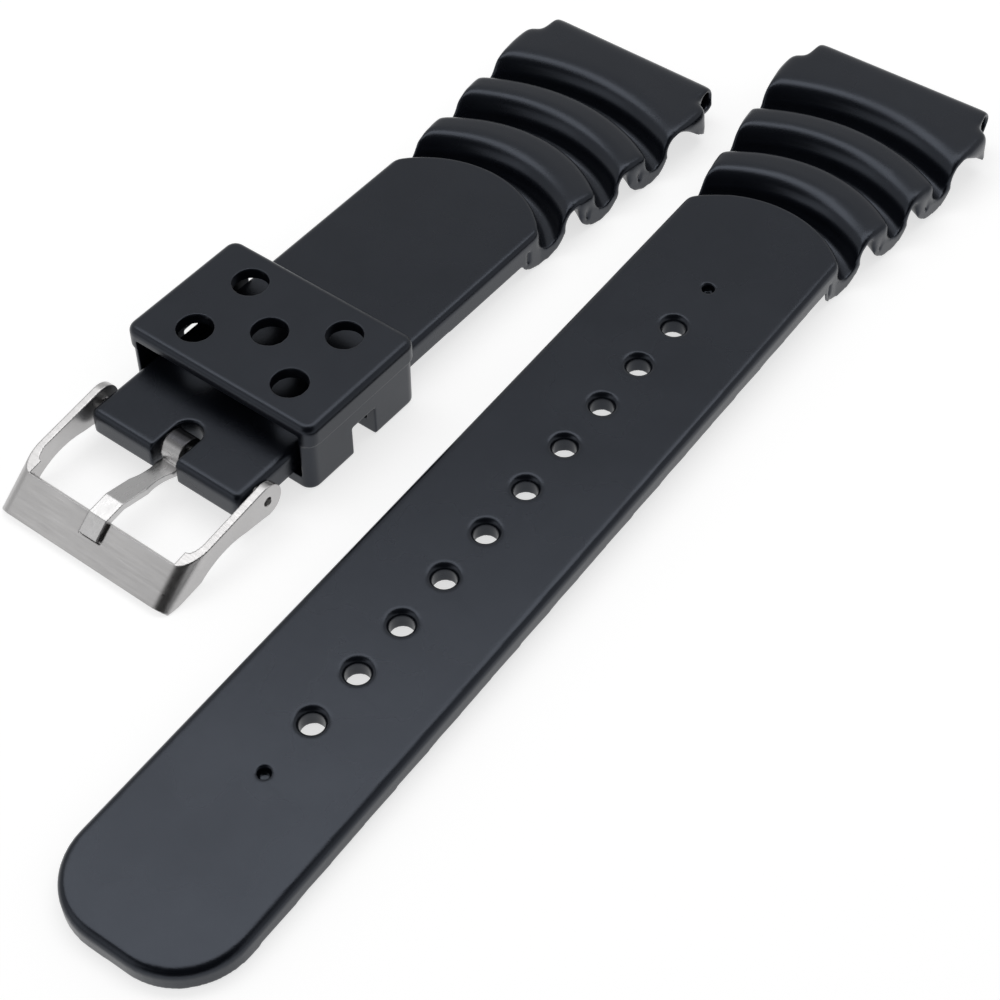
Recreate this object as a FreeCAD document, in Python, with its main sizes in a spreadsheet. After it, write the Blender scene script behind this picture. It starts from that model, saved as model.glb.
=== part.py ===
import FreeCAD, Part
import math
import os
import re
import Sketcher

# Rubber dive strap in two halves, laid face up side by side.
# Units are millimetres and degrees. +X runs along the strap towards the lugs, +Y across it, +Z up.
# The origin is on the axis of the buckle half's lug bore.
# Each half has its own frame: x = 0 at the nose of its lug tongue, z = 0 on its top face.

doc = FreeCAD.newDocument("dive_strap")
sheet = doc.addObject("Spreadsheet::Sheet", "Sizes")

SIZES = [
    # Lug end, the same on both halves
    ("lug_width", 22.0, "width of the tongue between the watch lugs"),
    ("lug_length", 3.5, "from the nose back to the shoulders"),
    ("nose_radius", 1.6, "round nose about the lug bore"),
    ("lug_bore_radius", 1.0, "tunnel for the lug's spring bar"),
    ("shoulder_width", 25.2, "widest part of the head"),
    ("shoulder_depth", 3.5, "straight side of the head behind the shoulders"),
    ("shoulder_corner", 1.2, "plan corner of the shoulders"),
    ("flare_start", 31.5, "from the nose to where the blade starts to widen"),
    # Wave section
    ("belly_depth", 4.8, "top face down to the lowest point of the waves"),
    ("plate_end", 26.9, "nose to the first cliff, on the centre line"),
    ("ridge_one_end", 18.7, "nose to the second cliff"),
    ("ridge_two_end", 11.0, "nose to the third cliff"),
    ("plate_end_radius", 12.6, "plan radius of the first cliff"),
    ("ridge_one_radius", 16.5, "plan radius of the second cliff"),
    ("ridge_two_radius", 21.5, "plan radius of the third cliff"),
    ("groove_width", 2.4, "groove between a cliff and the next wave"),
    ("groove_wall", 2.0, "top face down to the round floor of a groove"),
    ("crest_radius", 2.6, "round back of each wave"),
    ("ridge_drop", 0.3, "a wave's top falls this much towards its own cliff"),
    ("ridge_run", 3.2, "length of that slope"),
    ("belly_front", 0.5, "cliff to the middle of its belly's front round"),
    ("belly_front_round", 2.75, "round front of a belly, towards the lugs"),
    ("belly_back", 0.1, "cliff back to the middle of its belly's rear round"),
    ("belly_back_round", 3.2, "round rear of a belly"),
    ("plate_front", 0.5, "first cliff forward to the middle of the rear round under the blade's end"),
    ("plate_back_round", 2.1, "round rear of the belly under the blade's end"),
    ("belly_flat", 0.05, "the rounds of a belly end this far below its flat foot"),
    ("heel_top", 1.9, "shoulders back to the highest place under the head"),
    ("heel_run", 4.0, "length of the slope from there down to the head's underside"),
    ("heel_depth", 3.9, "thickness of the head behind the lug tongue"),
    ("slit_width", 0.35, "flex slit behind a cliff"),
    ("slit_back", 0.9, "cliff back to the flex slit"),
    ("slit_top", 1.6, "top face down to the slit"),
    ("slit_length", 1.7, "height of the slit"),
    ("cliff_round", 0.3, "rounded lip of each cliff"),
    ("edge_round", 0.8, "rounded top edge of the blades"),
    # Buckle half
    ("short_length", 79.1, "nose to the ends of the prongs"),
    ("short_thickness", 2.9, "blade of the buckle half"),
    ("short_head_width", 19.9, "blade width at the waves"),
    ("short_end_width", 19.6, "blade width at the prongs"),
    ("prong_corner", 0.8, "plan corner of the prongs"),
    ("slot_width", 3.2, "slot between the prongs for the tongue"),
    ("slot_end", 5.2, "prong ends to the slot's round end"),
    ("bar_back", 2.6, "prong ends to the spring bar's axis"),
    # Hole half
    ("long_length", 134.1, "nose to the tip"),
    ("long_thickness", 2.3, "blade of the hole half"),
    ("long_width", 18.8, "blade width"),
    ("tip_corner", 7.2, "plan corner of the tip"),
    ("hole_pitch", 6.52, "between adjustment holes"),
    ("first_mark", 41.9, "nose to the first dimple"),
    ("hole_radius", 1.2, "adjustment hole"),
    ("rim_radius", 1.65, "soft rim of an adjustment hole"),
    ("rim_depth", 0.5, "depth of the soft rim"),
    ("dimple_radius", 0.65, "blind dimple beyond each end of the row"),
    ("dimple_depth", 0.9, "depth of a dimple"),
    ("long_offset_x", 14.0, "hole half's nose ahead of the buckle half's nose"),
    ("long_offset_y", 27.35, "between the centre lines at the lugs"),
    ("long_yaw", 1.85, "angle between the two halves as laid out"),
    # Keeper
    ("keeper_nose", 71.1, "nose to the keeper's buckle side"),
    ("keeper_length", 16.3, "keeper along the strap"),
    ("keeper_wall", 1.2, "side walls"),
    ("keeper_roof", 1.3, "top plate"),
    ("keeper_gap", 0.3, "clearance under the buckle half's blade"),
    ("keeper_side_gap", 0.6, "clearance beside the buckle half's blade"),
    ("keeper_headroom", 2.6, "space above the blade for the hole half"),
    ("keeper_floor", 1.6, "bands under the strap"),
    ("keeper_lip", 0.35, "overhang of the cap over the walls"),
    ("keeper_lip_rise", 1.4, "top face of the strap up to the lip"),
    ("keeper_notch", 3.4, "gap between the two bands"),
    ("keeper_notch_rise", -1.0, "top of that gap, up from the strap's top face"),
    ("keeper_corner", 1.3, "upright corners"),
    ("keeper_round", 0.8, "rounded top edge"),
    ("keeper_foot_round", 0.4, "rounded bottom edge"),
    ("keeper_hole_radius", 1.9, "holes in the top plate"),
    ("keeper_hole_x", 8.2, "hole spacing along the strap"),
    ("keeper_hole_y", 12.4, "hole spacing across the strap"),
    # Buckle frame
    ("ear_gap", 0.5, "prong side to the inner face of an ear"),
    ("frame_sheet", 0.9, "thickness of the stamped steel"),
    ("ear_radius", 1.9, "round ear about the bar"),
    ("ear_join", 65.0, "angle below level where the ear runs into the arm"),
    ("ear_hole_radius", 0.5, "hole for the bar's pin"),
    ("frame_reach", 11.1, "bar axis to the top edge of the front plate"),
    ("plate_run", 3.9, "front plate's slope, along the strap"),
    ("plate_drop", 2.3, "front plate's slope, downwards"),
    ("arm_waist", -0.4, "underside of the arms above the bar axis"),
    ("arm_curve", 8.0, "radius of the arms' underside"),
    ("arm_curve_x", 6.5, "bar axis to the middle of that curve"),
    ("arm_curve_back", 3.0, "that curve, towards the bar"),
    ("arm_curve_front", 3.5, "that curve, towards the front plate"),
    ("frame_corner", 1.8, "front corners of the frame"),
    ("seat_depth", 0.4, "recess for the tongue in the front plate"),
    ("seat_length", 2.25, "recess, down the slope of the plate"),
    ("seat_gap", 0.2, "recess wider than the tongue, each side"),
    # Tongue
    ("tongue_width", 2.3, "width of the tongue"),
    ("tongue_sheet", 0.8, "thickness of the tongue"),
    ("tongue_gap", 0.08, "tongue above the seat in the front plate"),
    ("tongue_knee", 9.0, "bar axis to the bend behind the front plate"),
    ("tongue_tip", 2.0, "length of the bent tip"),
    ("waist_x", 4.2, "bar axis to the narrowest place of the tongue"),
    ("waist_width", 1.8, "narrowest width of the tongue"),
    ("waist_radius", 6.0, "hollow sides of the tongue"),
    # Spring bar
    ("bar_radius", 0.9, "barrel"),
    ("bar_fit", 0.04, "running clearance round the barrel"),
    ("bar_end_gap", 0.1, "barrel end short of the prong side"),
    ("barrel_wall", 0.3, "wall of the barrel"),
    ("barrel_lip", 0.5, "crimped end of the barrel"),
    ("barrel_round", 0.2, "rounded ends of the barrel"),
    ("pin_radius", 0.42, "pin of each tip"),
    ("pin_fit", 0.05, "clearance of the pin in the barrel's crimped end"),
    ("head_fit", 0.05, "clearance of a tip's head in the barrel"),
    ("tip_head", 2.2, "head of each tip, inside the barrel"),
    ("pin_reach", 0.55, "pin's reach into the ear"),
    ("pin_round", 0.12, "bevelled end of the pin"),
    ("spring_wire", 0.18, "wire of the coil spring"),
    ("spring_turns", 20.0, "turns of the coil spring"),
    ("spring_gap", 0.02, "spring to its seats and to the barrel"),
]

for row, (name, value, meaning) in enumerate(SIZES, start=1):
    sheet.set("A%d" % row, name)
    sheet.set("B%d" % row, repr(value))
    sheet.set("C%d" % row, meaning)
    sheet.setAlias("B%d" % row, name)
doc.recompute()

NAMES = {name for name, value, meaning in SIZES}
WORD = re.compile(r"[a-z_]+")


def linked(text):
    """Write a formula on size names as one that FreeCAD can bind."""
    return WORD.sub(lambda found: "Sizes." + found.group() if found.group() in NAMES else found.group(), text)


def number(text):
    """Today's value of a formula on size names."""
    result = sheet.evalExpression(text)
    return float(getattr(result, "Value", result))


def bind(target, path, text):
    """Tie a property to a formula on size names."""
    target.setExpression(path, linked(text))


# Formulas that several features share
FLOOR_RADIUS = "groove_width / 2"
CREST_SPAN = "sqrt((crest_radius + groove_width / 2)^2 - (crest_radius - groove_wall)^2)"
FRONT_Z = "(belly_front_round - belly_depth - belly_flat)"
CENTRES_X = "(%s + %s - belly_front)" % (FLOOR_RADIUS, CREST_SPAN)
CENTRES_Z = "(-crest_radius - %s)" % FRONT_Z
CENTRES = "sqrt(%s^2 + %s^2)" % (CENTRES_X, CENTRES_Z)
INNER_CREST = "(%s - belly_front_round)" % CENTRES
BLADE_MIDDLE = "short_thickness / 2"
BAR_X = "(short_length - bar_back)"
EAR_INSIDE = "(short_end_width / 2 + ear_gap)"
EAR_OUTSIDE = "(short_end_width / 2 + ear_gap + frame_sheet)"
BARREL_END = "(short_end_width / 2 - bar_end_gap)"


def new_body(label):
    """One body for each piece."""
    body = doc.addObject("PartDesign::Body", label)
    body.Label = label
    return body


def plane(body, role):
    """An origin plane of the body."""
    return [item for item in body.Origin.OriginFeatures if item.Role == role][0]


def blank_sketch(body, name, role):
    sketch = body.newObject("Sketcher::SketchObject", name)
    sketch.AttachmentSupport = (plane(body, role), [""])
    sketch.MapMode = "FlatFace"
    return sketch


def hold_point(sketch, item, end, point):
    """Fix one end of an edge at a pair of formulas."""
    for kind, text in (("DistanceX", point[0]), ("DistanceY", point[1])):
        index = sketch.addConstraint(Sketcher.Constraint(kind, -1, 1, item, end, number(text)))
        bind(sketch, "Constraints[%d]" % index, text)


def add_outline(sketch, steps):
    """A closed outline. A step is (x, y) or (x, y, radius) where an arc leads on to the next step.

    A positive radius turns left and a negative one turns right; both are short arcs.
    """
    corners = [FreeCAD.Vector(number(step[0]), number(step[1]), 0) for step in steps]
    ends = []
    for index, step in enumerate(steps):
        start = corners[index]
        stop = corners[(index + 1) % len(steps)]
        if len(step) == 2:
            item = sketch.addGeometry(Part.LineSegment(start, stop), False)
            ends.append((item, 1, 2))
            continue
        left = not step[2].startswith("-")
        radius = number(step[2].lstrip("-"))
        chord = stop - start
        half = chord.Length / 2
        side = FreeCAD.Vector(-chord.y, chord.x, 0).normalize()
        side = side if left else -side
        rise = math.sqrt(max(radius * radius - half * half, 0.0))
        middle = start + chord * 0.5 - side * (radius - rise)
        item = sketch.addGeometry(Part.Arc(start, middle, stop), False)
        first = 1 if left else 2
        ends.append((item, first, 3 - first))
        limit = sketch.addConstraint(Sketcher.Constraint("Radius", item, radius))
        bind(sketch, "Constraints[%d]" % limit, step[2].lstrip("-"))
    for index, (item, first, last) in enumerate(ends):
        follower = ends[(index + 1) % len(ends)]
        sketch.addConstraint(Sketcher.Constraint("Coincident", item, last, follower[0], follower[1]))
        hold_point(sketch, item, first, steps[index])


def add_axis(sketch, x):
    """An upright construction line to turn about."""
    value = number(x)
    low = FreeCAD.Vector(value, -1, 0)
    high = FreeCAD.Vector(value, 1, 0)
    item = sketch.addGeometry(Part.LineSegment(low, high), True)
    hold_point(sketch, item, 1, (x, "-1"))
    hold_point(sketch, item, 2, (x, "1"))


def add_circle(sketch, x, y, radius):
    centre = FreeCAD.Vector(number(x), number(y), 0)
    item = sketch.addGeometry(Part.Circle(centre, FreeCAD.Vector(0, 0, 1), number(radius)), False)
    limit = sketch.addConstraint(Sketcher.Constraint("Radius", item, number(radius)))
    bind(sketch, "Constraints[%d]" % limit, radius)
    hold_point(sketch, item, 3, (x, y))


def pad(body, name, role, steps, length, both_ways=False, down=False, start=None):
    """Pad one outline."""
    sketch = blank_sketch(body, name + "_sketch", role)
    add_outline(sketch, steps)
    if start:
        bind(sketch, "AttachmentOffset.Base.z", start)
    feature = body.newObject("PartDesign::Pad", name)
    feature.Profile = sketch
    feature.Midplane = both_ways
    feature.Reversed = down
    bind(feature, "Length", length)
    doc.recompute()
    return feature


def pocket(body, name, role, steps, length, both_ways=False, circles=(), upwards=False):
    """Cut outlines and circles out of the body, and make sure that the cut removes something."""
    before = body.Shape.Volume
    sketch = blank_sketch(body, name + "_sketch", role)
    if steps:
        add_outline(sketch, steps)
    for circle in circles:
        add_circle(sketch, *circle)
    feature = body.newObject("PartDesign::Pocket", name)
    feature.Profile = sketch
    feature.Midplane = both_ways
    feature.Reversed = upwards
    bind(feature, "Length", length)
    doc.recompute()
    if not body.Shape.Volume < before:
        raise RuntimeError(name + " cuts nothing")
    return feature


def turned_cut(body, name, axis_x, steps, angle):
    """Turn an upright outline about the upright line at axis_x and cut it out."""
    before = body.Shape.Volume
    sketch = blank_sketch(body, name + "_sketch", "XZ_Plane")
    add_outline(sketch, steps)
    add_axis(sketch, axis_x)
    feature = body.newObject("PartDesign::Groove", name)
    feature.Profile = sketch
    feature.ReferenceAxis = (sketch, ["Axis0"])
    feature.Midplane = angle < 360
    feature.Angle = angle
    doc.recompute()
    if not body.Shape.Volume < before:
        raise RuntimeError(name + " cuts nothing")
    return feature


def round_edges(body, name, radius, wanted):
    """Round the edges of the body that the test picks."""
    base = body.Tip
    edges = ["Edge%d" % (index + 1) for index, edge in enumerate(base.Shape.Edges) if wanted(edge)]
    feature = body.newObject("PartDesign::Fillet", name)
    feature.Base = (base, edges)
    bind(feature, "Radius", radius)
    doc.recompute()
    return feature


def level(edge, z):
    """True where the whole edge lies at this height."""
    return all(abs(vertex.Z - z) < 1e-4 for vertex in edge.Vertexes) and abs(edge.CenterOfMass.z - z) < 1e-4


def place(body, x="0", y="0", z="0", yaw="0", pitch="0"):
    """Bind the body's placement; positive pitch lowers the buckle side."""
    text = (
        "create(<<placement>>; create(<<vector>>; %s; %s; %s); create(<<rotation>>; %s; -(%s); 0))"
        % (linked(x), linked(y), linked(z), linked(yaw), linked(pitch))
    )
    body.setExpression("Placement", text)
    doc.recompute()


# The wave section, cut the same way into both halves

SECTOR = 130.0
HALF_TURN = 180.0


def groove(body, name, cliff, plan_radius, drop):
    """A groove with a sheer cliff on the blade's side and a round wave rising on the lug's side.

    The top in front of the cliff slopes down by the drop, if there is one.
    """
    floor_x = "-(%s) + groove_width / 2" % cliff
    join_x = floor_x + " + (%s) * (%s) / (crest_radius + %s)" % (FLOOR_RADIUS, CREST_SPAN, FLOOR_RADIUS)
    join_z = "-groove_wall - (%s) * (crest_radius - groove_wall) / (crest_radius + %s)" % (
        FLOOR_RADIUS, FLOOR_RADIUS)
    crest_x = floor_x + " + " + CREST_SPAN
    lip_x = "-(%s) - cliff_round" % cliff
    steps = []
    if drop:
        steps.append(("-(%s) - ridge_run" % cliff, "1"))
        steps.append(("-(%s) - ridge_run" % cliff, "0"))
    else:
        steps.append((lip_x, "1"))
    steps += [
        (lip_x, "-(%s)" % (drop or "0"), "-cliff_round"),
        ("-(%s)" % cliff, "-cliff_round - (%s)" % (drop or "0")),
        ("-(%s)" % cliff, "-groove_wall", FLOOR_RADIUS),
        (floor_x, "-groove_wall - " + FLOOR_RADIUS, FLOOR_RADIUS),
        (join_x, join_z, "-crest_radius"),
        (crest_x, "0"),
        (crest_x, "1"),
    ]
    return turned_cut(body, name, "-(%s) - (%s)" % (cliff, plan_radius), steps, SECTOR)


def hollow(body, name, cliff, plan_radius, next_cliff):
    """The hollow under a wave, from the front of one belly to the rear of the next or to the head."""
    front_x = "-(%s) + belly_front" % cliff
    join_x = front_x + " + belly_front_round * %s / %s" % (CENTRES_X, CENTRES)
    join_z = "%s + belly_front_round * %s / %s" % (FRONT_Z, CENTRES_Z, CENTRES)
    crest_x = "(-(%s) + %s + %s)" % (cliff, FLOOR_RADIUS, CREST_SPAN)
    far_x = "(-(%s) - belly_back - belly_back_round)" % next_cliff if next_cliff else "(-lug_length - heel_top)"
    top_z = "-crest_radius + sqrt(%s^2 - (%s - %s)^2)" % (INNER_CREST, crest_x, far_x)
    steps = [
        (front_x, "-belly_depth - 1"),
        (front_x, "-belly_depth - belly_flat", "belly_front_round"),
        (join_x, join_z, "-" + INNER_CREST),
        (far_x, top_z),
    ]
    if next_cliff:
        steps += [
            (far_x, "-belly_depth - belly_flat + belly_back_round", "belly_back_round"),
            (far_x + " + belly_back_round", "-belly_depth - belly_flat"),
            (far_x + " + belly_back_round", "-belly_depth - 1"),
        ]
    else:
        steps += [
            (far_x + " + heel_run", "-heel_depth"),
            ("lug_width", "-heel_depth"),
            ("lug_width", "-belly_depth - 1"),
        ]
    return turned_cut(body, name, "-(%s) - (%s)" % (cliff, plan_radius), steps, SECTOR)


def slit(body, name, cliff, plan_radius):
    """A narrow flex slit behind a cliff, open at both sides of the strap."""
    near = "-(%s) - slit_back" % cliff
    steps = [
        (near, "-slit_top"),
        (near + " - slit_width", "-slit_top"),
        (near + " - slit_width", "-slit_top - slit_length"),
        (near, "-slit_top - slit_length"),
    ]
    return turned_cut(body, name, "-(%s) - (%s)" % (cliff, plan_radius), steps, SECTOR)


CLIFFS = [
    ("plate", "plate_end", "plate_end_radius", None),
    ("ridge_one", "ridge_one_end", "ridge_one_radius", "ridge_drop"),
    ("ridge_two", "ridge_two_end", "ridge_two_radius", "ridge_drop"),
]


def head_outline(half_width):
    """Plan points from the blade's flare to the lug and back, for one side and then the other."""
    flare_x = "-(lug_length + shoulder_depth)"
    right = [
        ("-flare_start", "-(%s)" % half_width),
        (flare_x, "-shoulder_width / 2"),
        ("-lug_length - shoulder_corner", "-shoulder_width / 2", "shoulder_corner"),
        ("-lug_length", "-shoulder_width / 2 + shoulder_corner"),
        ("-lug_length", "-lug_width / 2"),
        ("0", "-lug_width / 2"),
    ]
    left = [
        ("0", "lug_width / 2"),
        ("-lug_length", "lug_width / 2"),
        ("-lug_length", "shoulder_width / 2 - shoulder_corner", "shoulder_corner"),
        ("-lug_length - shoulder_corner", "shoulder_width / 2"),
        (flare_x, "shoulder_width / 2"),
        ("-flare_start", half_width),
    ]
    return right, left


def shape_head(body, thickness, blade_length):
    """Cut the waves, the belly under the blade's end and the lug nose."""
    turn_x = "-plate_end - plate_end_radius"
    centre_x = "(-plate_end + plate_front)"
    centre_z = "(plate_back_round - belly_depth - belly_flat)"
    start_x = centre_x + " - sqrt(plate_back_round^2 - (%s + %s)^2)" % (centre_z, thickness)
    pocket(body, body.Label + "_blade_underside", "XZ_Plane", [
        ("-(%s) - 1" % blade_length, "-(%s)" % thickness),
        ("-(%s) - 1" % blade_length, "-belly_depth - 1"),
        (turn_x, "-belly_depth - 1"),
        (turn_x, "-(%s)" % thickness),
    ], "2 * shoulder_width", both_ways=True)
    turned_cut(body, body.Label + "_belly_side", turn_x, [
        (turn_x, "-(%s)" % thickness),
        (turn_x, "-belly_depth - 1"),
        (centre_x, "-belly_depth - 1"),
        (centre_x, "-belly_depth - belly_flat", "-plate_back_round"),
        (start_x, "-(%s)" % thickness),
    ], HALF_TURN)
    for name, cliff, radius, drop in CLIFFS:
        groove(body, "%s_%s_groove" % (body.Label, name), cliff, radius, drop)
    for (name, cliff, radius, drop), follower in zip(CLIFFS, CLIFFS[1:] + [None]):
        hollow(body, "%s_%s_hollow" % (body.Label, name), cliff, radius, follower[1] if follower else None)
    for name, cliff, radius, drop in CLIFFS:
        slit(body, "%s_%s_slit" % (body.Label, name), cliff, radius)
    pocket(body, body.Label + "_lug_nose", "XZ_Plane", [
        ("-lug_length", "-belly_depth - 1"),
        ("1", "-belly_depth - 1"),
        ("1", "1"),
        ("-nose_radius", "1"),
        ("-nose_radius", "0", "-nose_radius"),
        ("0", "-nose_radius", "-nose_radius"),
        ("-nose_radius", "-2 * nose_radius"),
        ("-lug_length", "-2 * nose_radius"),
    ], "2 * shoulder_width", both_ways=True)
    pocket(body, body.Label + "_lug_bore", "XZ_Plane", None, "2 * shoulder_width", both_ways=True,
           circles=[("-nose_radius", "-nose_radius", "lug_bore_radius")])


# Buckle half

short_strap = new_body("short_strap")
short_right, short_left = head_outline("short_head_width / 2")
pad(short_strap, "short_blank", "XY_Plane", [
    ("-short_length + prong_corner", "-short_end_width / 2"),
] + short_right + short_left + [
    ("-short_length + prong_corner", "short_end_width / 2", "prong_corner"),
    ("-short_length", "short_end_width / 2 - prong_corner"),
    ("-short_length", "-short_end_width / 2 + prong_corner", "prong_corner"),
], "belly_depth", down=True)
round_edges(short_strap, "short_top_edge", "edge_round",
            lambda edge: level(edge, 0.0) and edge.CenterOfMass.x < -number("lug_length") + 1e-3)
shape_head(short_strap, "short_thickness", "short_length")
pocket(short_strap, "short_tongue_slot", "XY_Plane", [
    ("-short_length - 1", "-slot_width / 2"),
    ("-short_length + slot_end - slot_width / 2", "-slot_width / 2", "slot_width / 2"),
    ("-short_length + slot_end", "0", "slot_width / 2"),
    ("-short_length + slot_end - slot_width / 2", "slot_width / 2"),
    ("-short_length - 1", "slot_width / 2"),
], "belly_depth")
pocket(short_strap, "short_bar_tunnel", "XZ_Plane", None, "2 * shoulder_width", both_ways=True,
       circles=[("-" + BAR_X, "-" + BLADE_MIDDLE, "bar_radius + bar_fit")])
place(short_strap, "nose_radius", "0", "nose_radius")

# Hole half, laid beside the buckle half and resting on its first belly and its tip

long_strap = new_body("long_strap")
long_right, long_left = head_outline("long_width / 2")
pad(long_strap, "long_blank", "XY_Plane", long_right + long_left + [
    ("-long_length + tip_corner", "long_width / 2", "tip_corner"),
    ("-long_length", "long_width / 2 - tip_corner"),
    ("-long_length", "-long_width / 2 + tip_corner", "tip_corner"),
    ("-long_length + tip_corner", "-long_width / 2"),
], "belly_depth", down=True)
round_edges(long_strap, "long_top_edge", "edge_round",
            lambda edge: level(edge, 0.0) and edge.CenterOfMass.x < -number("lug_length") + 1e-3)
shape_head(long_strap, "long_thickness", "long_length")

MARKS = 12


def mark_x(index):
    return "-first_mark - %d * hole_pitch" % index


for index in range(1, MARKS - 1):
    centre = mark_x(index)
    turned_cut(long_strap, "adjustment_hole_%d" % index, centre, [
        (centre, "1"),
        (centre, "-long_thickness - 1"),
        (centre + " + hole_radius", "-long_thickness - 1"),
        (centre + " + hole_radius", "-rim_depth", "-2 * (rim_radius - hole_radius)"),
        (centre + " + rim_radius", "0"),
        (centre + " + rim_radius", "1"),
    ], 360.0)
for index in (0, MARKS - 1):
    centre = mark_x(index)
    turned_cut(long_strap, "dimple_%d" % index, centre, [
        (centre, "1"),
        (centre, "-dimple_depth"),
        (centre + " + dimple_radius", "-dimple_depth"),
        (centre + " + dimple_radius", "1"),
    ], 360.0)
BELLY_X = (
    "(plate_end + plate_end_radius - sqrt((plate_end_radius + plate_front"
    " - sqrt(plate_back_round^2 - (plate_back_round - belly_flat)^2))^2 - (long_width / 2)^2))"
)
REST_TILT = "atan((belly_depth - long_thickness) / (long_length - %s))" % BELLY_X
place(long_strap, "nose_radius + long_offset_x", "-long_offset_y",
      "nose_radius + sin(%s) * %s - (1 - cos(%s)) * belly_depth" % (REST_TILT, BELLY_X, REST_TILT),
      "long_yaw", REST_TILT)

# Keeper: a capped box with two bands under the strap

KEEPER_IN = "(short_head_width / 2 + keeper_side_gap)"
KEEPER_SIDE = "(short_head_width / 2 + keeper_side_gap + keeper_wall)"
KEEPER_CAP = "(short_head_width / 2 + keeper_side_gap + keeper_wall + keeper_lip)"
KEEPER_TOP = "(keeper_headroom + keeper_roof)"
KEEPER_FOOT = "(short_thickness + keeper_gap + keeper_floor)"


def rounded_box(x_half, y_half, corner):
    """Plan outline with round corners."""
    return [
        ("-%s + %s" % (x_half, corner), "-" + y_half),
        ("%s - %s" % (x_half, corner), "-" + y_half, corner),
        (x_half, "-%s + %s" % (y_half, corner)),
        (x_half, "%s - %s" % (y_half, corner), corner),
        ("%s - %s" % (x_half, corner), y_half),
        ("-%s + %s" % (x_half, corner), y_half, corner),
        ("-" + x_half, "%s - %s" % (y_half, corner)),
        ("-" + x_half, "-%s + %s" % (y_half, corner), corner),
    ]


keeper = new_body("keeper")
pad(keeper, "keeper_walls", "XY_Plane", rounded_box("(keeper_length / 2)", KEEPER_SIDE, "keeper_corner"),
    KEEPER_FOOT + " + keeper_lip_rise", start="-" + KEEPER_FOOT)
pad(keeper, "keeper_cap", "XY_Plane", rounded_box("(keeper_length / 2)", KEEPER_CAP, "keeper_corner"),
    KEEPER_TOP + " - keeper_lip_rise", start="keeper_lip_rise")
round_edges(keeper, "keeper_top_edge", "keeper_round", lambda edge: level(edge, number(KEEPER_TOP)))
round_edges(keeper, "keeper_foot_edge", "keeper_foot_round",
            lambda edge: level(edge, -number(KEEPER_FOOT)))
pocket(keeper, "keeper_window", "YZ_Plane", [
    ("-" + KEEPER_IN, "-short_thickness - keeper_gap"),
    (KEEPER_IN, "-short_thickness - keeper_gap"),
    (KEEPER_IN, "keeper_headroom"),
    ("-" + KEEPER_IN, "keeper_headroom"),
], "2 * keeper_length", both_ways=True)
pocket(keeper, "keeper_band_gap", "XZ_Plane", [
    ("-keeper_notch / 2", "-%s - 1" % KEEPER_FOOT),
    ("keeper_notch / 2", "-%s - 1" % KEEPER_FOOT),
    ("keeper_notch / 2", "keeper_notch_rise"),
    ("-keeper_notch / 2", "keeper_notch_rise"),
], "4 * " + KEEPER_CAP, both_ways=True)
pocket(keeper, "keeper_holes", "XY_Plane", None, KEEPER_TOP + " + 1", upwards=True, circles=[
    ("0", "0", "keeper_hole_radius"),
    ("keeper_hole_x / 2", "keeper_hole_y / 2", "keeper_hole_radius"),
    ("keeper_hole_x / 2", "-keeper_hole_y / 2", "keeper_hole_radius"),
    ("-keeper_hole_x / 2", "keeper_hole_y / 2", "keeper_hole_radius"),
    ("-keeper_hole_x / 2", "-keeper_hole_y / 2", "keeper_hole_radius"),
])
place(keeper, "nose_radius - keeper_nose + keeper_length / 2", "0", "nose_radius")

# Buckle frame: ears at the bar, arms, and a sloping front plate. Its own origin is on the bar's axis.

PLATE_LENGTH = "sqrt(plate_run^2 + plate_drop^2)"
PLATE_END_X = "(frame_reach + plate_run)"
PLATE_END_Z = "(ear_radius - plate_drop)"
FOOT_X = "(frame_reach + plate_run - frame_sheet * plate_drop / %s)" % PLATE_LENGTH
FOOT_Z = "(ear_radius - plate_drop - frame_sheet * plate_run / %s)" % PLATE_LENGTH
EAR_JOIN_X = "(ear_radius * cos(ear_join))"
EAR_JOIN_Z = "(ear_radius * sin(ear_join))"


def arm_height(x):
    """Height of the arms' underside at this distance from the bar."""
    return "arm_waist - arm_curve + sqrt(arm_curve^2 - (%s - arm_curve_x)^2)" % x


def plate_x(z, inward):
    """Distance from the bar to the front plate's face, moved inward, at this height."""
    return "(frame_reach + (ear_radius - (%s)) * plate_run / plate_drop - (%s) * %s / plate_drop)" % (
        z, inward, PLATE_LENGTH)


def has_ends(edge, first, second):
    """True for the straight edge between two points."""
    if len(edge.Vertexes) != 2:
        return False
    ends = [vertex.Point for vertex in edge.Vertexes]
    return (ends[0].distanceToPoint(first) < 1e-3 and ends[1].distanceToPoint(second) < 1e-3) or (
        ends[1].distanceToPoint(first) < 1e-3 and ends[0].distanceToPoint(second) < 1e-3)


buckle_frame = new_body("buckle_frame")
pad(buckle_frame, "frame_blank", "XZ_Plane", [
    ("0", "ear_radius", "-ear_radius"),
    ("ear_radius", "0", "-ear_radius"),
    ("0", "-ear_radius", "-ear_radius"),
    ("-" + EAR_JOIN_X, "-" + EAR_JOIN_Z),
    ("-arm_curve_x + arm_curve_back", arm_height("(arm_curve_x - arm_curve_back)"), "arm_curve"),
    ("-arm_curve_x - arm_curve_front", arm_height("(arm_curve_x + arm_curve_front)")),
    ("-" + FOOT_X, FOOT_Z),
    ("-" + PLATE_END_X, PLATE_END_Z),
    ("-frame_reach", "ear_radius"),
], "2 * " + EAR_OUTSIDE, both_ways=True)


def is_corner(edge, x_top, z_top, x_foot, z_foot, y):
    """True for the sloping corner edge between these heights on either side."""
    return any(
        has_ends(edge, FreeCAD.Vector(-x_top, side * y, z_top), FreeCAD.Vector(-x_foot, side * y, z_foot))
        for side in (-1, 1)
    )


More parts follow.
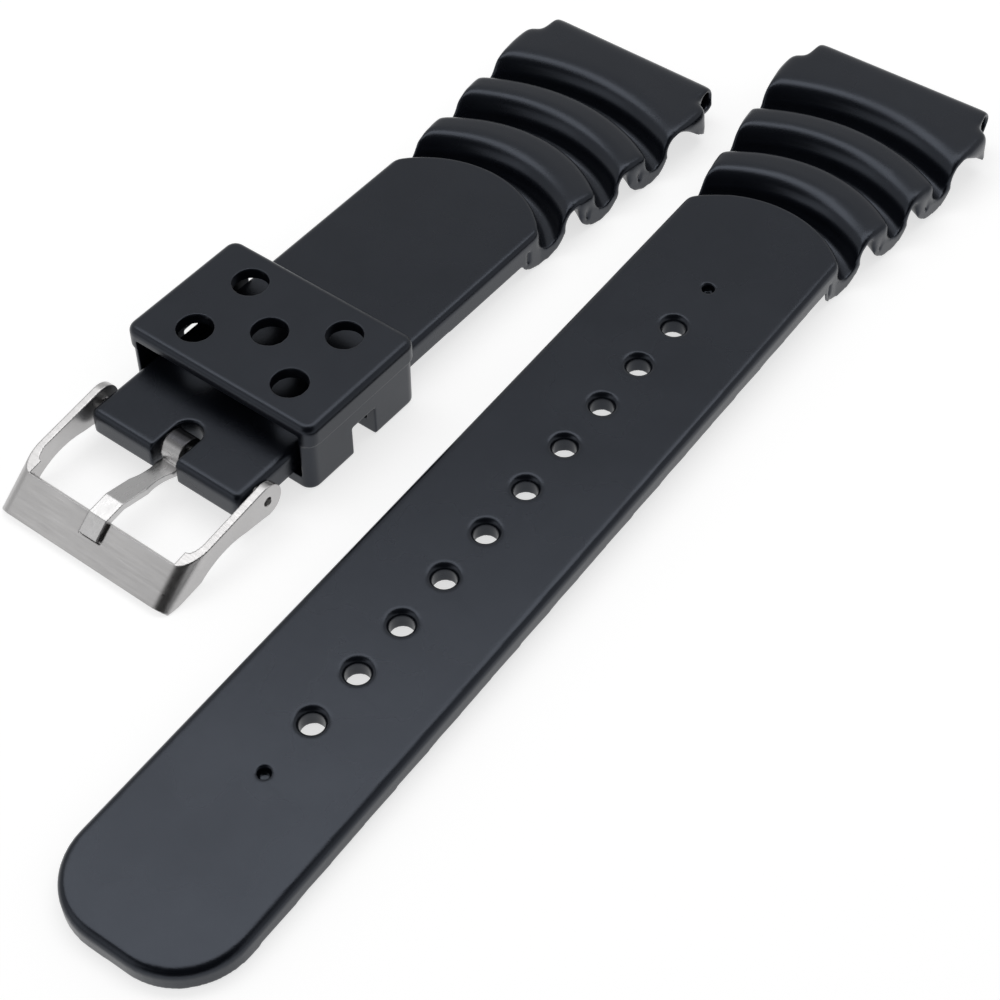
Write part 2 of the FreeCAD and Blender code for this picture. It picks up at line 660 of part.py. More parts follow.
round_edges(buckle_frame, "frame_outer_corners", "frame_corner", lambda edge: is_corner(
    edge, number("frame_reach"), number("ear_radius"), number(PLATE_END_X), number(PLATE_END_Z),
    number(EAR_OUTSIDE)))
CORE_TOP = "(ear_radius + 1)"
CORE_FOOT = "(-2 * ear_radius)"
frame_core = new_body("frame_core")
pad(frame_core, "core_blank", "XZ_Plane", [
    ("2 * ear_radius", CORE_TOP),
    ("-" + plate_x(CORE_TOP, "frame_sheet"), CORE_TOP),
    ("-" + plate_x(CORE_FOOT, "frame_sheet"), CORE_FOOT),
    ("2 * ear_radius", CORE_FOOT),
], "2 * " + EAR_INSIDE, both_ways=True)
round_edges(frame_core, "core_corners", "frame_corner - frame_sheet", lambda edge: is_corner(
    edge, number(plate_x(CORE_TOP, "frame_sheet")), number(CORE_TOP),
    number(plate_x(CORE_FOOT, "frame_sheet")), number(CORE_FOOT), number(EAR_INSIDE)))
window = buckle_frame.newObject("PartDesign::Boolean", "frame_window")
window.addObjects([frame_core])
window.Type = 1
doc.recompute()
pocket(buckle_frame, "frame_ear_holes", "XZ_Plane", None, "4 * " + EAR_OUTSIDE, both_ways=True,
       circles=[("0", "0", "ear_hole_radius")])
pocket(buckle_frame, "frame_rim", "XZ_Plane", [
    ("-frame_reach", "ear_radius"),
    ("-frame_reach + frame_sheet * plate_drop / " + PLATE_LENGTH,
     "ear_radius - frame_sheet * plate_run / " + PLATE_LENGTH),
    ("-" + plate_x("ear_radius", "frame_sheet"), "ear_radius"),
    ("-" + plate_x("ear_radius", "frame_sheet"), "2 * ear_radius"),
    ("-frame_reach", "2 * ear_radius"),
], "2 * (%s - frame_corner + frame_sheet)" % EAR_INSIDE, both_ways=True)
SEAT_Z = "(ear_radius - seat_depth)"
SEAT_CLEAR = 2


def seat_foot(outward):
    """A point on the recess's lower wall, square to the plate, this far out of the plate's face."""
    return (
        "-(frame_reach + (seat_length * plate_run + (%s) * plate_drop) / %s)" % (outward, PLATE_LENGTH),
        "(ear_radius - (seat_length * plate_drop - (%s) * plate_run) / %s)" % (outward, PLATE_LENGTH),
    )


pocket(buckle_frame, "frame_tongue_seat", "XZ_Plane", [
    ("-frame_reach + frame_reach / 3", SEAT_Z),
    ("-" + plate_x(SEAT_Z, "seat_depth"), SEAT_Z),
    seat_foot("-seat_depth"),
    seat_foot(SEAT_CLEAR),
    (seat_foot(SEAT_CLEAR)[0], "2 * ear_radius"),
    ("-frame_reach + frame_reach / 3", "2 * ear_radius"),
], "tongue_width + 2 * seat_gap", both_ways=True)
FRAME_TILT = "asin((belly_depth - %s) / sqrt(%s^2 + %s^2)) - atan(-%s / %s)" % (
    BLADE_MIDDLE, FOOT_X, FOOT_Z, FOOT_Z, FOOT_X)
place(buckle_frame, "nose_radius - " + BAR_X, "0", "nose_radius - " + BLADE_MIDDLE, "0", FRAME_TILT)

# Tongue: sheet rolled round the bar, rising to the front plate and bent over it

RING_OUT = "(bar_radius + bar_fit + tongue_sheet)"
UNDER_Z = "(ear_radius - seat_depth + tongue_gap)"
KNEE_REACH = "sqrt(tongue_knee^2 + %s^2)" % UNDER_Z
RISE = "(atan(%s / tongue_knee) + asin(%s / %s))" % (UNDER_Z, RING_OUT, KNEE_REACH)
INNER_LINE = "(seat_depth - tongue_gap)"
OUTER_LINE = "(seat_depth - tongue_gap - tongue_sheet)"
TOP_Z = "(%s + tongue_sheet)" % UNDER_Z
TIP_X = "(%s + tongue_tip * plate_run / %s)" % (plate_x(UNDER_Z, INNER_LINE), PLATE_LENGTH)
TIP_Z = "(%s - tongue_tip * plate_drop / %s)" % (UNDER_Z, PLATE_LENGTH)
TIP_TOP_X = "(%s + tongue_sheet * plate_drop / %s)" % (TIP_X, PLATE_LENGTH)
TIP_TOP_Z = "(%s + tongue_sheet * plate_run / %s)" % (TIP_Z, PLATE_LENGTH)
buckle_tongue = new_body("buckle_tongue")
pad(buckle_tongue, "tongue_strip", "XZ_Plane", [
    ("-%s * sin(%s)" % (RING_OUT, RISE), "-%s * cos(%s)" % (RING_OUT, RISE)),
    ("-tongue_knee", UNDER_Z),
    ("-" + plate_x(UNDER_Z, INNER_LINE), UNDER_Z),
    ("-" + TIP_X, TIP_Z),
    ("-" + TIP_TOP_X, TIP_TOP_Z),
    ("-" + plate_x(TOP_Z, OUTER_LINE), TOP_Z),
    ("-tongue_knee + tongue_sheet * tan(%s / 2)" % RISE, TOP_Z),
    ("-(bar_radius + bar_fit) * sin(%s)" % RISE, "-(bar_radius + bar_fit) * cos(%s)" % RISE),
], "tongue_width", both_ways=True)
ring = blank_sketch(buckle_tongue, "tongue_ring_sketch", "XZ_Plane")
add_circle(ring, "0", "0", RING_OUT)
ring_pad = buckle_tongue.newObject("PartDesign::Pad", "tongue_ring")
ring_pad.Profile = ring
ring_pad.Midplane = True
bind(ring_pad, "Length", "tongue_width")
doc.recompute()
pocket(buckle_tongue, "tongue_eye", "XZ_Plane", None, "2 * tongue_width", both_ways=True,
       circles=[("0", "0", "bar_radius + bar_fit")])
pocket(buckle_tongue, "tongue_waist", "XY_Plane", None, "6 * tongue_width", both_ways=True, circles=[
    ("-waist_x", "waist_width / 2 + waist_radius", "waist_radius"),
    ("-waist_x", "-waist_width / 2 - waist_radius", "waist_radius"),
])
place(buckle_tongue, "nose_radius - " + BAR_X, "0", "nose_radius - " + BLADE_MIDDLE, "0", FRAME_TILT)

# Spring bar: a barrel with crimped ends, a coil spring and two sliding tips

BORE = "(bar_radius - barrel_wall)"
CRIMP = "(pin_radius + pin_fit)"


def turned(body, name, steps):
    """Turn a half profile about the body's own y axis."""
    sketch = blank_sketch(body, name + "_sketch", "XY_Plane")
    add_outline(sketch, steps)
    feature = body.newObject("PartDesign::Revolution", name)
    feature.Profile = sketch
    feature.ReferenceAxis = (sketch, ["V_Axis"])
    feature.Angle = 360.0
    doc.recompute()
    return feature


bar_tube = new_body("bar_tube")
turned(bar_tube, "barrel", [
    (CRIMP, "-" + BARREL_END),
    ("bar_radius - barrel_round", "-" + BARREL_END, "barrel_round"),
    ("bar_radius", "-%s + barrel_round" % BARREL_END),
    ("bar_radius", "%s - barrel_round" % BARREL_END, "barrel_round"),
    ("bar_radius - barrel_round", BARREL_END),
    (CRIMP, BARREL_END),
    (CRIMP, "%s - barrel_lip" % BARREL_END),
    (BORE, "%s - barrel_lip" % BARREL_END),
    (BORE, "-%s + barrel_lip" % BARREL_END),
    (CRIMP, "-%s + barrel_lip" % BARREL_END),
])
HEAD_END = "(%s - barrel_lip - spring_gap)" % BARREL_END
HEAD_START = "(%s - barrel_lip - spring_gap - tip_head)" % BARREL_END
PIN_END = "(%s + pin_reach)" % EAR_INSIDE


def make_tip(label, side):
    """A sliding tip: its head stays in the barrel and its pin reaches into an ear."""
    body = new_body(label)
    steps = [
        ("0", HEAD_START),
        ("%s - head_fit" % BORE, HEAD_START),
        ("%s - head_fit" % BORE, HEAD_END),
        ("pin_radius", HEAD_END),
        ("pin_radius", "%s - pin_round" % PIN_END),
        ("pin_radius - pin_round", PIN_END),
        ("0", PIN_END),
    ]
    if side < 0:
        steps = [(x, "-(%s)" % y) for x, y in reversed(steps)]
    turned(body, label + "_turning", steps)
    return body


bar_tip_left = make_tip("bar_tip_left", 1)
bar_tip_right = make_tip("bar_tip_right", -1)

bar_spring = new_body("bar_spring")
wire = blank_sketch(bar_spring, "spring_wire_sketch", "XY_Plane")
add_circle(wire, BORE + " - spring_gap - spring_wire / 2", "-%s + spring_gap + spring_wire / 2" % HEAD_START,
           "spring_wire / 2")
coil = bar_spring.newObject("PartDesign::AdditiveHelix", "spring_coil")
coil.Profile = wire
coil.ReferenceAxis = (wire, ["V_Axis"])
coil.Mode = 2
bind(coil, "Height", "2 * (%s - spring_gap - spring_wire / 2)" % HEAD_START)
bind(coil, "Turns", "spring_turns")
doc.recompute()

for body in (bar_tube, bar_tip_left, bar_tip_right, bar_spring):
    place(body, "nose_radius - " + BAR_X, "0", "nose_radius - " + BLADE_MIDDLE)

# Check every object, then write one STEP file for each piece

os.makedirs("parts", exist_ok=True)
PIECES = [
    short_strap, long_strap, keeper, buckle_frame, buckle_tongue, bar_tube, bar_spring,
    bar_tip_left, bar_tip_right,
]
doc.recompute()
for item in doc.Objects:
    if "Invalid" in item.State or "Error" in item.State:
        raise RuntimeError("%s is %s" % (item.Name, item.State))
for body in PIECES:
    shape = body.Shape
    if shape.isNull() or not shape.isValid() or len(shape.Solids) != 1:
        raise RuntimeError("%s is not one valid solid" % body.Label)
    shape.exportStep("parts/%s.step" % body.Label)
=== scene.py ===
import math

import bmesh
import bpy
from mathutils import Matrix, Vector


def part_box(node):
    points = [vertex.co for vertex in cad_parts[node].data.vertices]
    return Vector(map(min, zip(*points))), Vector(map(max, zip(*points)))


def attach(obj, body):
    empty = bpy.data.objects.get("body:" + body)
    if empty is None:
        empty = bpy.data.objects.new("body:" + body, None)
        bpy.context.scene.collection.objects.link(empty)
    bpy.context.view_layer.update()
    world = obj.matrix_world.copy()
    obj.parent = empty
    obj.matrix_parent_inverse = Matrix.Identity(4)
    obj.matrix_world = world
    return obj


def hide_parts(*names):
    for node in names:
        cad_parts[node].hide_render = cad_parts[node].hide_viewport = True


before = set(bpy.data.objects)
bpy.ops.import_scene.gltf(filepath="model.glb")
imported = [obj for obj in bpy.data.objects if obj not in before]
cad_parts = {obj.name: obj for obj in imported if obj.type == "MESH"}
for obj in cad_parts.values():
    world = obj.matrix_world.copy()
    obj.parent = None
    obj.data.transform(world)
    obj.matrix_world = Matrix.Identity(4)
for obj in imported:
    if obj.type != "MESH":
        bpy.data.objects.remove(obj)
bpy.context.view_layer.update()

# Rubber dive strap with its pin buckle, laid face up on a white table.
# Lengths are in metres in the CAD model's own frame, and in millimetres only where a comment says so.

MM = 0.001
EVEN = (1.0, 1.0, 1.0)
WHITE = (1.0, 1.0, 1.0, 1.0)

# Table: its height, the gap that keeps it clear of the strap's underside, and its finish.
FLOOR_Z = -3.2 * MM
FLOOR_GAP = 0.02 * MM
FLOOR_HALF = 1.5
TABLE_GREY = (0.82, 0.82, 0.82, 1.0)
TABLE_SEEN_GREY = (0.5, 0.5, 0.5, 1.0)
TABLE_GLOW = 0.68

# Room: its light on the object, and the shares of white that reflections show of it.
WHITE_RAYS = ("Is Camera Ray", "Is Glossy Ray", "Is Transmission Ray")
ROOM_LEVEL = 0.4
ROOM_WALL = 0.72
ROOM_HORIZON = 0.8
HORIZON_START = 0.05
HORIZON_STOP = 0.45
DARK_AZIMUTH = 218.0
DARK_ELEVATION = 55.0
DARK_INNER = 40.0
DARK_OUTER = 56.0
DARK_SHARE = 0.02

# Waves, in millimetres: each blade ends on an arc round its turn, and the waves lie beyond it.
BLADE_TURN_SHORT = (-37.9, 0.0)
BLADE_TURN_LONG = (-23.88, -28.63)
BLADE_REACH = 12.6
BLADE_EDGE_INSIDE = 0.6
BLADE_EDGE_OUTSIDE = 0.4
HALVES_PART_AT = -14.3
WAVE_LOW = -1.2
WAVE_RISE = 1.0
WAVE_PASSES = 140

# Softening: voxel size in millimetres, rounds of smoothing, and share of the faces that is kept.
STRAP_SOFTNESS = (0.15, 5, 0.35)
KEEPER_SOFTNESS = (0.1, 6, 0.3)
FRAME_SOFTNESS = (0.06, 10, 0.35)
TONGUE_SOFTNESS = (0.05, 12, 0.35)
SMOOTH_FACTOR = 0.5
WELD_DISTANCE = 0.0005

# Rubber: scales of its noises per metre, and depths of its bumps.
MOTTLE_SCALE = 260.0
CLOUD_SCALE = 90.0
UNEVEN_SCALE = 120.0
UNEVEN_DEPTH = 0.04 * MM
GRAIN_SCALE = 5200.0
GRAIN_DEPTH = 0.012 * MM
RUBBER_TINT = (0.76, 0.84, 1.0, 1.0)

# Steel: scales of its noises per metre, depths of its scratches, and the painted shade on the tongue's curl
# before the bar.
BRUSH_SCALE = 4200.0
STAIN_SCALE = 150.0
BRUSH_DEPTH = 0.004 * MM
BAR_DEPTH = 0.002 * MM
PAINTED_SHADE_GREY = (0.055, 0.055, 0.06, 1.0)
PAINTED_SHADE_START = 1.6 * MM
PAINTED_SHADE_FULL = 0.5 * MM

# The mix node has sockets of one name for each kind of value, so its colour ones go by number.
MIX_FIRST_COLOUR = 6
MIX_SECOND_COLOUR = 7
MIX_RESULT_COLOUR = 2


# Node helpers

def new_material(name):
    """A node material with only its output and its main shader."""
    material = bpy.data.materials.new(name)
    material.use_nodes = True
    tree = material.node_tree
    tree.nodes.clear()
    output = tree.nodes.new("ShaderNodeOutputMaterial")
    shader = tree.nodes.new("ShaderNodeBsdfPrincipled")
    tree.links.new(shader.outputs["BSDF"], output.inputs["Surface"])
    return material, tree, shader


def stretched_position(tree, scale):
    """Object coordinates in metres, scaled along each axis."""
    place = tree.nodes.new("ShaderNodeTexCoord")
    mapping = tree.nodes.new("ShaderNodeMapping")
    mapping.inputs["Scale"].default_value = scale
    tree.links.new(place.outputs["Object"], mapping.inputs["Vector"])
    return mapping.outputs["Vector"]


def noise(tree, where, scale, detail=4.0, roughness=0.55):
    """A noise texture's value."""
    node = tree.nodes.new("ShaderNodeTexNoise")
    node.inputs["Scale"].default_value = scale
    node.inputs["Detail"].default_value = detail
    node.inputs["Roughness"].default_value = roughness
    tree.links.new(where, node.inputs["Vector"])
    return node.outputs["Fac"]


def ramp(tree, value, first, last):
    """A colour ramp between two (position, colour) stops."""
    node = tree.nodes.new("ShaderNodeValToRGB")
    for element, (position, colour) in zip(node.color_ramp.elements, (first, last)):
        element.position = position
        element.color = (*colour, 1.0)
    tree.links.new(value, node.inputs["Fac"])
    return node.outputs["Color"]


def spread(tree, value, low, high, start=0.3, stop=0.7, stepped=False):
    """Low at start and high at stop, along a straight line or a smooth step."""
    node = tree.nodes.new("ShaderNodeMapRange")
    if stepped:
        node.interpolation_type = "SMOOTHSTEP"
    node.inputs["From Min"].default_value = start
    node.inputs["From Max"].default_value = stop
    node.inputs["To Min"].default_value = low
    node.inputs["To Max"].default_value = high
    tree.links.new(value, node.inputs["Value"])
    return node.outputs["Result"]


def bump(tree, value, depth, strength, under=None):
    """A bump of this depth in metres, over another bump if there is one."""
    node = tree.nodes.new("ShaderNodeBump")
    node.inputs["Distance"].default_value = depth
    node.inputs["Strength"].default_value = strength
    tree.links.new(value, node.inputs["Height"])
    if under is not None:
        tree.links.new(under, node.inputs["Normal"])
    return node.outputs["Normal"]


# Materials

def make_rubber(name, dark, light, rough_low, rough_high):
    """Moulded black rubber: a fine grain, faint mottling and a slightly uneven satin."""
    material, tree, shader = new_material(name)
    even = stretched_position(tree, EVEN)
    mottle = noise(tree, even, MOTTLE_SCALE, 5.0, 0.6)
    tree.links.new(ramp(tree, mottle, (0.32, dark), (0.7, light)), shader.inputs["Base Color"])
    cloud = noise(tree, even, CLOUD_SCALE, 3.0)
    tree.links.new(spread(tree, cloud, rough_low, rough_high), shader.inputs["Roughness"])
    uneven = bump(tree, noise(tree, even, UNEVEN_SCALE, 2.0), UNEVEN_DEPTH, 0.5)
    grain = bump(tree, noise(tree, even, GRAIN_SCALE, 3.0, 0.7), GRAIN_DEPTH, 0.6, uneven)
    tree.links.new(grain, shader.inputs["Normal"])
    shader.inputs["Specular IOR Level"].default_value = 0.5
    shader.inputs["Specular Tint"].default_value = RUBBER_TINT
    shader.inputs["IOR"].default_value = 1.5
    return material


def make_brushed(name, stretch, colour, bright, rough_low, rough_high, depth):
    """Brushed steel, its lines along the axis whose share in the stretch is smallest."""
    material, tree, shader = new_material(name)
    lines = stretched_position(tree, stretch)
    fine = noise(tree, lines, BRUSH_SCALE, 6.0, 0.7)
    even = stretched_position(tree, EVEN)
    stain = noise(tree, even, STAIN_SCALE, 4.0)
    tree.links.new(ramp(tree, stain, (0.3, colour), (0.7, bright)), shader.inputs["Base Color"])
    tree.links.new(spread(tree, fine, rough_low, rough_high), shader.inputs["Roughness"])
    scratches = bump(tree, fine, depth, 0.5)
    tree.links.new(scratches, shader.inputs["Normal"])
    shader.inputs["Metallic"].default_value = 1.0
    return material


def paint_shade_in_curl(material, start, stop):
    """Painted shade where the strip is rolled: a darker base colour from start to stop along the strap."""
    tree = material.node_tree
    shader = next(node for node in tree.nodes if node.type == "BSDF_PRINCIPLED")
    place = tree.nodes.new("ShaderNodeTexCoord")
    axes = tree.nodes.new("ShaderNodeSeparateXYZ")
    tree.links.new(place.outputs["Object"], axes.inputs["Vector"])
    share = spread(tree, axes.outputs["X"], 0.0, 1.0, start, stop)
    mix = tree.nodes.new("ShaderNodeMix")
    mix.data_type = "RGBA"
    unshaded_colour = shader.inputs["Base Color"].links[0].from_socket
    tree.links.new(share, mix.inputs["Factor"])
    tree.links.new(unshaded_colour, mix.inputs[MIX_FIRST_COLOUR])
    mix.inputs[MIX_SECOND_COLOUR].default_value = PAINTED_SHADE_GREY
    tree.links.new(mix.outputs[MIX_RESULT_COLOUR], shader.inputs["Base Color"])


RUBBER = make_rubber("black_rubber", (0.0026, 0.0033, 0.0055), (0.0046, 0.0055, 0.0082), 0.24, 0.30)
KEEPER_RUBBER = make_rubber("keeper_rubber", (0.0028, 0.0035, 0.0058), (0.0048, 0.0058, 0.0086), 0.26, 0.33)
FRAME_STEEL = make_brushed("frame_steel", (1.0, 0.04, 1.0), (0.49, 0.483, 0.482), (0.55, 0.542, 0.54),
                           0.26, 0.40, BRUSH_DEPTH)
TONGUE_STEEL = make_brushed("tongue_steel", (0.06, 1.0, 1.0), (0.52, 0.516, 0.516), (0.60, 0.595, 0.595),
                            0.24, 0.36, BRUSH_DEPTH)
BAR_STEEL = make_brushed("bar_steel", EVEN, (0.52, 0.52, 0.52), (0.60, 0.60, 0.60), 0.24, 0.34, BAR_DEPTH)
SPRING_STEEL = make_brushed("spring_steel", EVEN, (0.42, 0.42, 0.43), (0.50, 0.50, 0.51),
                            0.30, 0.40, BAR_DEPTH)
BAR_X = (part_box("bar_tube")[0][0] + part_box("bar_tube")[1][0]) / 2.0
# Painted shade: the tongue's base colour turns dark grey on its curl round the bar, where the bend is
# shadowed.
paint_shade_in_curl(TONGUE_STEEL, BAR_X - PAINTED_SHADE_START, BAR_X - PAINTED_SHADE_FULL)


# Pieces

def dress(node, material):
    """Give a CAD node its material."""
    node.data.materials.clear()
    node.data.materials.append(material)


def freeze(piece):
    """Give a piece the mesh that its modifiers make, in place of them."""
    graph = bpy.context.evaluated_depsgraph_get()
    mesh = bpy.data.meshes.new_from_object(piece.evaluated_get(graph))
    piece.modifiers.clear()
    piece.data = mesh
    return mesh


def add_round_part(piece, swell):
    """Freeze the fine mesh, then smooth it far more where swell says so."""
    fine = freeze(piece)
    group = piece.vertex_groups.new(name="round_part")
    for vertex in fine.vertices:
        weight = swell(vertex.co)
        if weight > 0.0:
            group.add([vertex.index], weight, "REPLACE")
    more = piece.modifiers.new("round_part", "SMOOTH")
    more.factor = SMOOTH_FACTOR
    more.iterations = WAVE_PASSES
    more.vertex_group = "round_part"


def ease(value, start, stop):
    """Nought before start and one after stop, with a smooth step between."""
    t = min(max((value - start) / (stop - start), 0.0), 1.0)
    return t * t * (3.0 - 2.0 * t)


def wave_part(point):
    """The upper faces of the waves, from the arc where the blade ends to the lug."""
    turn = BLADE_TURN_SHORT if point.y > HALVES_PART_AT else BLADE_TURN_LONG
    if point.x < turn[0]:
        return 0.0
    reach = math.hypot(point.x - turn[0], point.y - turn[1])
    beyond_blade = ease(reach, BLADE_REACH - BLADE_EDGE_INSIDE, BLADE_REACH + BLADE_EDGE_OUTSIDE)
    return beyond_blade * ease(point.z, WAVE_LOW, WAVE_LOW + WAVE_RISE)


def soften(name, node_name, body, slot, material, voxel, passes, share, swell=None):
    """A copy of a CAD node with its sharp edges rounded as in a mould; it stands for the node.

    Swell gives how strongly a point (in millimetres) belongs to a part with large round edges.
    """
    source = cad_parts[node_name]
    mesh = source.data.copy()
    mesh.transform(Matrix.Scale(1.0 / MM, 4))
    welded = bmesh.new()
    welded.from_mesh(mesh)
    bmesh.ops.remove_doubles(welded, verts=welded.verts, dist=WELD_DISTANCE)
    welded.to_mesh(mesh)
    welded.free()
    piece = bpy.data.objects.new(name, mesh)
    bpy.context.scene.collection.objects.link(piece)
    remesh = piece.modifiers.new("remesh", "REMESH")
    remesh.mode = "VOXEL"
    remesh.voxel_size = voxel
    smooth = piece.modifiers.new("smooth", "SMOOTH")
    smooth.factor = SMOOTH_FACTOR
    smooth.iterations = passes
    if swell is not None:
        add_round_part(piece, swell)
    thin = piece.modifiers.new("thin", "DECIMATE")
    thin.ratio = share
    result = freeze(piece)
    result.transform(Matrix.Scale(MM, 4))
    for polygon in result.polygons:
        polygon.use_smooth = True
    result.materials.clear()
    result.materials.append(material)
    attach(piece, body)
    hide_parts(node_name)


NODE_MATERIALS = {
    "bar_tube": BAR_STEEL,
    "bar_tip_left": BAR_STEEL,
    "bar_tip_right": BAR_STEEL,
    "bar_spring": SPRING_STEEL,
    "short_strap": RUBBER,
    "long_strap": RUBBER,
    "keeper": KEEPER_RUBBER,
    "buckle_frame": FRAME_STEEL,
    "buckle_tongue": TONGUE_STEEL,
}
for node_name, material in NODE_MATERIALS.items():
    dress(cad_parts[node_name], material)
soften("short_half_rubber", "short_strap", "short_half", "rubber", RUBBER, *STRAP_SOFTNESS, wave_part)
soften("long_half_rubber", "long_strap", "long_half", "rubber", RUBBER, *STRAP_SOFTNESS, wave_part)
soften("keeper_loop", "keeper", "keeper", "keeper_rubber", KEEPER_RUBBER, *KEEPER_SOFTNESS)
soften("frame_plate", "buckle_frame", "buckle_frame", "buckle_steel", FRAME_STEEL, *FRAME_SOFTNESS)
soften("tongue_strip", "buckle_tongue", "buckle_tongue", "buckle_steel", TONGUE_STEEL, *TONGUE_SOFTNESS)


# Studio

def white_for_sight(tree):
    """One for camera, glossy and transmission rays, and nought for the rest."""
    path = tree.nodes.new("ShaderNodeLightPath")
    total = path.outputs[WHITE_RAYS[0]]
    for ray in WHITE_RAYS[1:]:
        most = tree.nodes.new("ShaderNodeMath")
        most.operation = "MAXIMUM"
        tree.links.new(total, most.inputs[0])
        tree.links.new(path.outputs[ray], most.inputs[1])
        total = most.outputs["Value"]
    return total


def make_floor():
    """A white table that keeps a light shadow."""
    mesh = bpy.data.meshes.new("table_top")
    sides = [(-1.0, -1.0), (1.0, -1.0), (1.0, 1.0), (-1.0, 1.0)]
    corners = [(x * FLOOR_HALF, y * FLOOR_HALF, FLOOR_Z) for x, y in sides]
    mesh.from_pydata(corners, [], [(0, 1, 2, 3)])
    floor = bpy.data.objects.new("table_top", mesh)
    floor.location.z = -FLOOR_GAP
    bpy.context.scene.collection.objects.link(floor)
    material = bpy.data.materials.new("white_table")
    material.use_nodes = True
    tree = material.node_tree
    tree.nodes.clear()
    output = tree.nodes.new("ShaderNodeOutputMaterial")
    plain = tree.nodes.new("ShaderNodeBsdfDiffuse")
    plain.inputs["Color"].default_value = TABLE_GREY
    seen = tree.nodes.new("ShaderNodeBsdfDiffuse")
    seen.inputs["Color"].default_value = TABLE_SEEN_GREY
    glow = tree.nodes.new("ShaderNodeEmission")
    glow.inputs["Color"].default_value = WHITE
    glow.inputs["Strength"].default_value = TABLE_GLOW
    both = tree.nodes.new("ShaderNodeAddShader")
    tree.links.new(seen.outputs["BSDF"], both.inputs[0])
    tree.links.new(glow.outputs["Emission"], both.inputs[1])
    choice = tree.nodes.new("ShaderNodeMixShader")
    tree.links.new(white_for_sight(tree), choice.inputs["Fac"])
    tree.links.new(plain.outputs["BSDF"], choice.inputs[1])
    tree.links.new(both.outputs["Shader"], choice.inputs[2])
    tree.links.new(choice.outputs["Shader"], output.inputs["Surface"])
    mesh.materials.append(material)


def toward(azimuth, elevation):
    """A unit vector by angle from +X about the upright and angle above the table, in degrees."""
    a = math.radians(azimuth)
    e = math.radians(elevation)
    return Vector((math.cos(e) * math.cos(a), math.cos(e) * math.sin(a), math.sin(e)))


def make_world():
    """An even grey light. Reflections see a pale horizon, a greyer room and the dark front of the studio."""
    world = bpy.data.worlds.new("studio")
    world.use_nodes = True
    tree = world.node_tree
    tree.nodes.clear()
    output = tree.nodes.new("ShaderNodeOutputWorld")
    level = tree.nodes.new("ShaderNodeBackground")
    level.inputs["Color"].default_value = WHITE
    level.inputs["Strength"].default_value = ROOM_LEVEL
    sight = tree.nodes.new("ShaderNodeBackground")
    sight.inputs["Color"].default_value = WHITE
    room = tree.nodes.new("ShaderNodeBackground")
    direction = tree.nodes.new("ShaderNodeTexCoord").outputs["Generated"]
    facing = tree.nodes.new("ShaderNodeVectorMath")
    facing.operation = "DOT_PRODUCT"
    facing.inputs[1].default_value = toward(DARK_AZIMUTH, DARK_ELEVATION)
    tree.links.new(direction, facing.inputs[0])
    height = tree.nodes.new("ShaderNodeSeparateXYZ")
    tree.links.new(direction, height.inputs["Vector"])
    wall = spread(tree, height.outputs["Z"], ROOM_HORIZON, ROOM_WALL, HORIZON_START, HORIZON_STOP, True)
    outer = math.cos(math.radians(DARK_OUTER))
    inner = math.cos(math.radians(DARK_INNER))
    shade = spread(tree, facing.outputs["Value"], 1.0, DARK_SHARE, outer, inner, True)
    product = tree.nodes.new("ShaderNodeMath")
    product.operation = "MULTIPLY"
    tree.links.new(wall, product.inputs[0])
    tree.links.new(shade, product.inputs[1])
    tree.links.new(product.outputs["Value"], room.inputs["Strength"])
    path = tree.nodes.new("ShaderNodeLightPath")
    mirrored = tree.nodes.new("ShaderNodeMixShader")
    tree.links.new(path.outputs["Is Glossy Ray"], mirrored.inputs["Fac"])
    tree.links.new(sight.outputs["Background"], mirrored.inputs[1])
    tree.links.new(room.outputs["Background"], mirrored.inputs[2])
    choice = tree.nodes.new("ShaderNodeMixShader")
    tree.links.new(white_for_sight(tree), choice.inputs["Fac"])
    tree.links.new(level.outputs["Background"], choice.inputs[1])
    tree.links.new(mirrored.outputs["Shader"], choice.inputs[2])
    tree.links.new(choice.outputs["Shader"], output.inputs["Surface"])
    bpy.context.scene.world = world


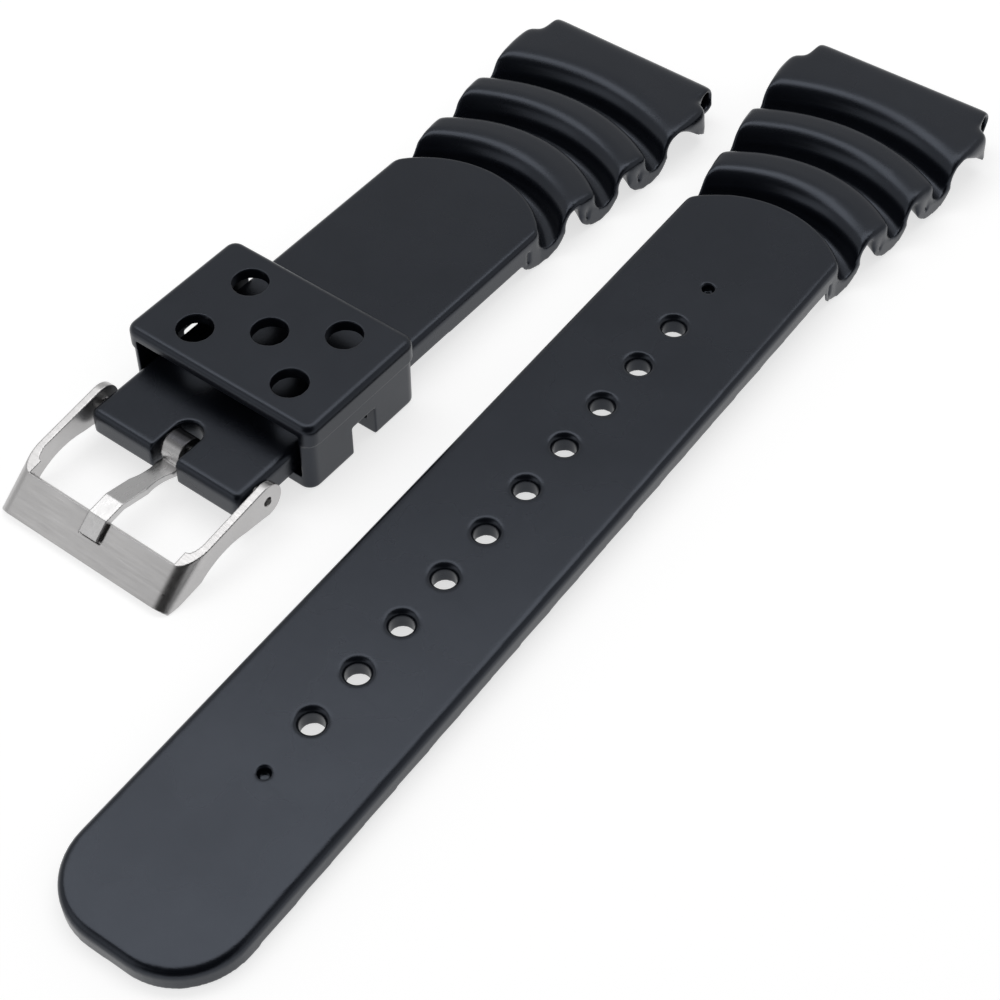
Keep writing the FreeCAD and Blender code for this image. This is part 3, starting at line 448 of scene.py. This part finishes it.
def softbox(name, target, azimuth, elevation, distance, width, height, brightness):
    """An area lamp that looks at the target; its brightness is what a mirror would show."""
    lamp = bpy.data.lights.new(name, "AREA")
    lamp.shape = "RECTANGLE"
    lamp.size = width
    lamp.size_y = height
    lamp.energy = brightness * math.pi * width * height
    holder = bpy.data.objects.new(name, lamp)
    away = toward(azimuth, elevation)
    holder.location = target + away * distance
    holder.rotation_mode = "QUATERNION"
    holder.rotation_quaternion = (-away).to_track_quat("-Z", "Y")
    bpy.context.scene.collection.objects.link(holder)


def make_camera():
    """The photograph's viewpoint, fitted to the strap's own landmarks."""
    turn = math.radians(37.7226)
    down = math.radians(49.2114)
    roll = math.radians(-0.2862)
    focal_pixels = 2186.9
    picture_pixels = 1000.0
    side_shift = 14.676 * MM
    up_shift = 49.941 * MM
    depth = 251.271 * MM
    sensor = 36.0
    forward = Vector((math.cos(down) * math.cos(turn), math.cos(down) * math.sin(turn), -math.sin(down)))
    right = Vector((math.sin(turn), -math.cos(turn), 0.0))
    up = right.cross(forward)
    level_right = right * math.cos(roll) + up * math.sin(roll)
    level_up = up * math.cos(roll) - right * math.sin(roll)
    eye = -(level_right * side_shift + level_up * up_shift + forward * depth)
    data = bpy.data.cameras.new("camera")
    data.sensor_width = sensor
    data.lens = focal_pixels * sensor / picture_pixels
    data.clip_start = 0.01
    data.clip_end = 20.0
    camera = bpy.data.objects.new("camera", data)
    turned = Matrix((level_right, level_up, -forward)).transposed()
    camera.matrix_world = Matrix.Translation(eye) @ turned.to_4x4()
    bpy.context.scene.collection.objects.link(camera)
    bpy.context.scene.camera = camera


make_floor()
make_world()
MIDDLE = Vector((-0.045, -0.012, 0.0))
softbox("key_light", MIDDLE, azimuth=38.0, elevation=70.0, distance=0.5,
        width=0.7, height=0.2, brightness=2.0)
softbox("left_light", MIDDLE, azimuth=150.0, elevation=36.0, distance=0.6,
        width=0.35, height=0.3, brightness=0.5)
make_camera()

scene = bpy.context.scene
scene.view_settings.view_transform = "Standard"
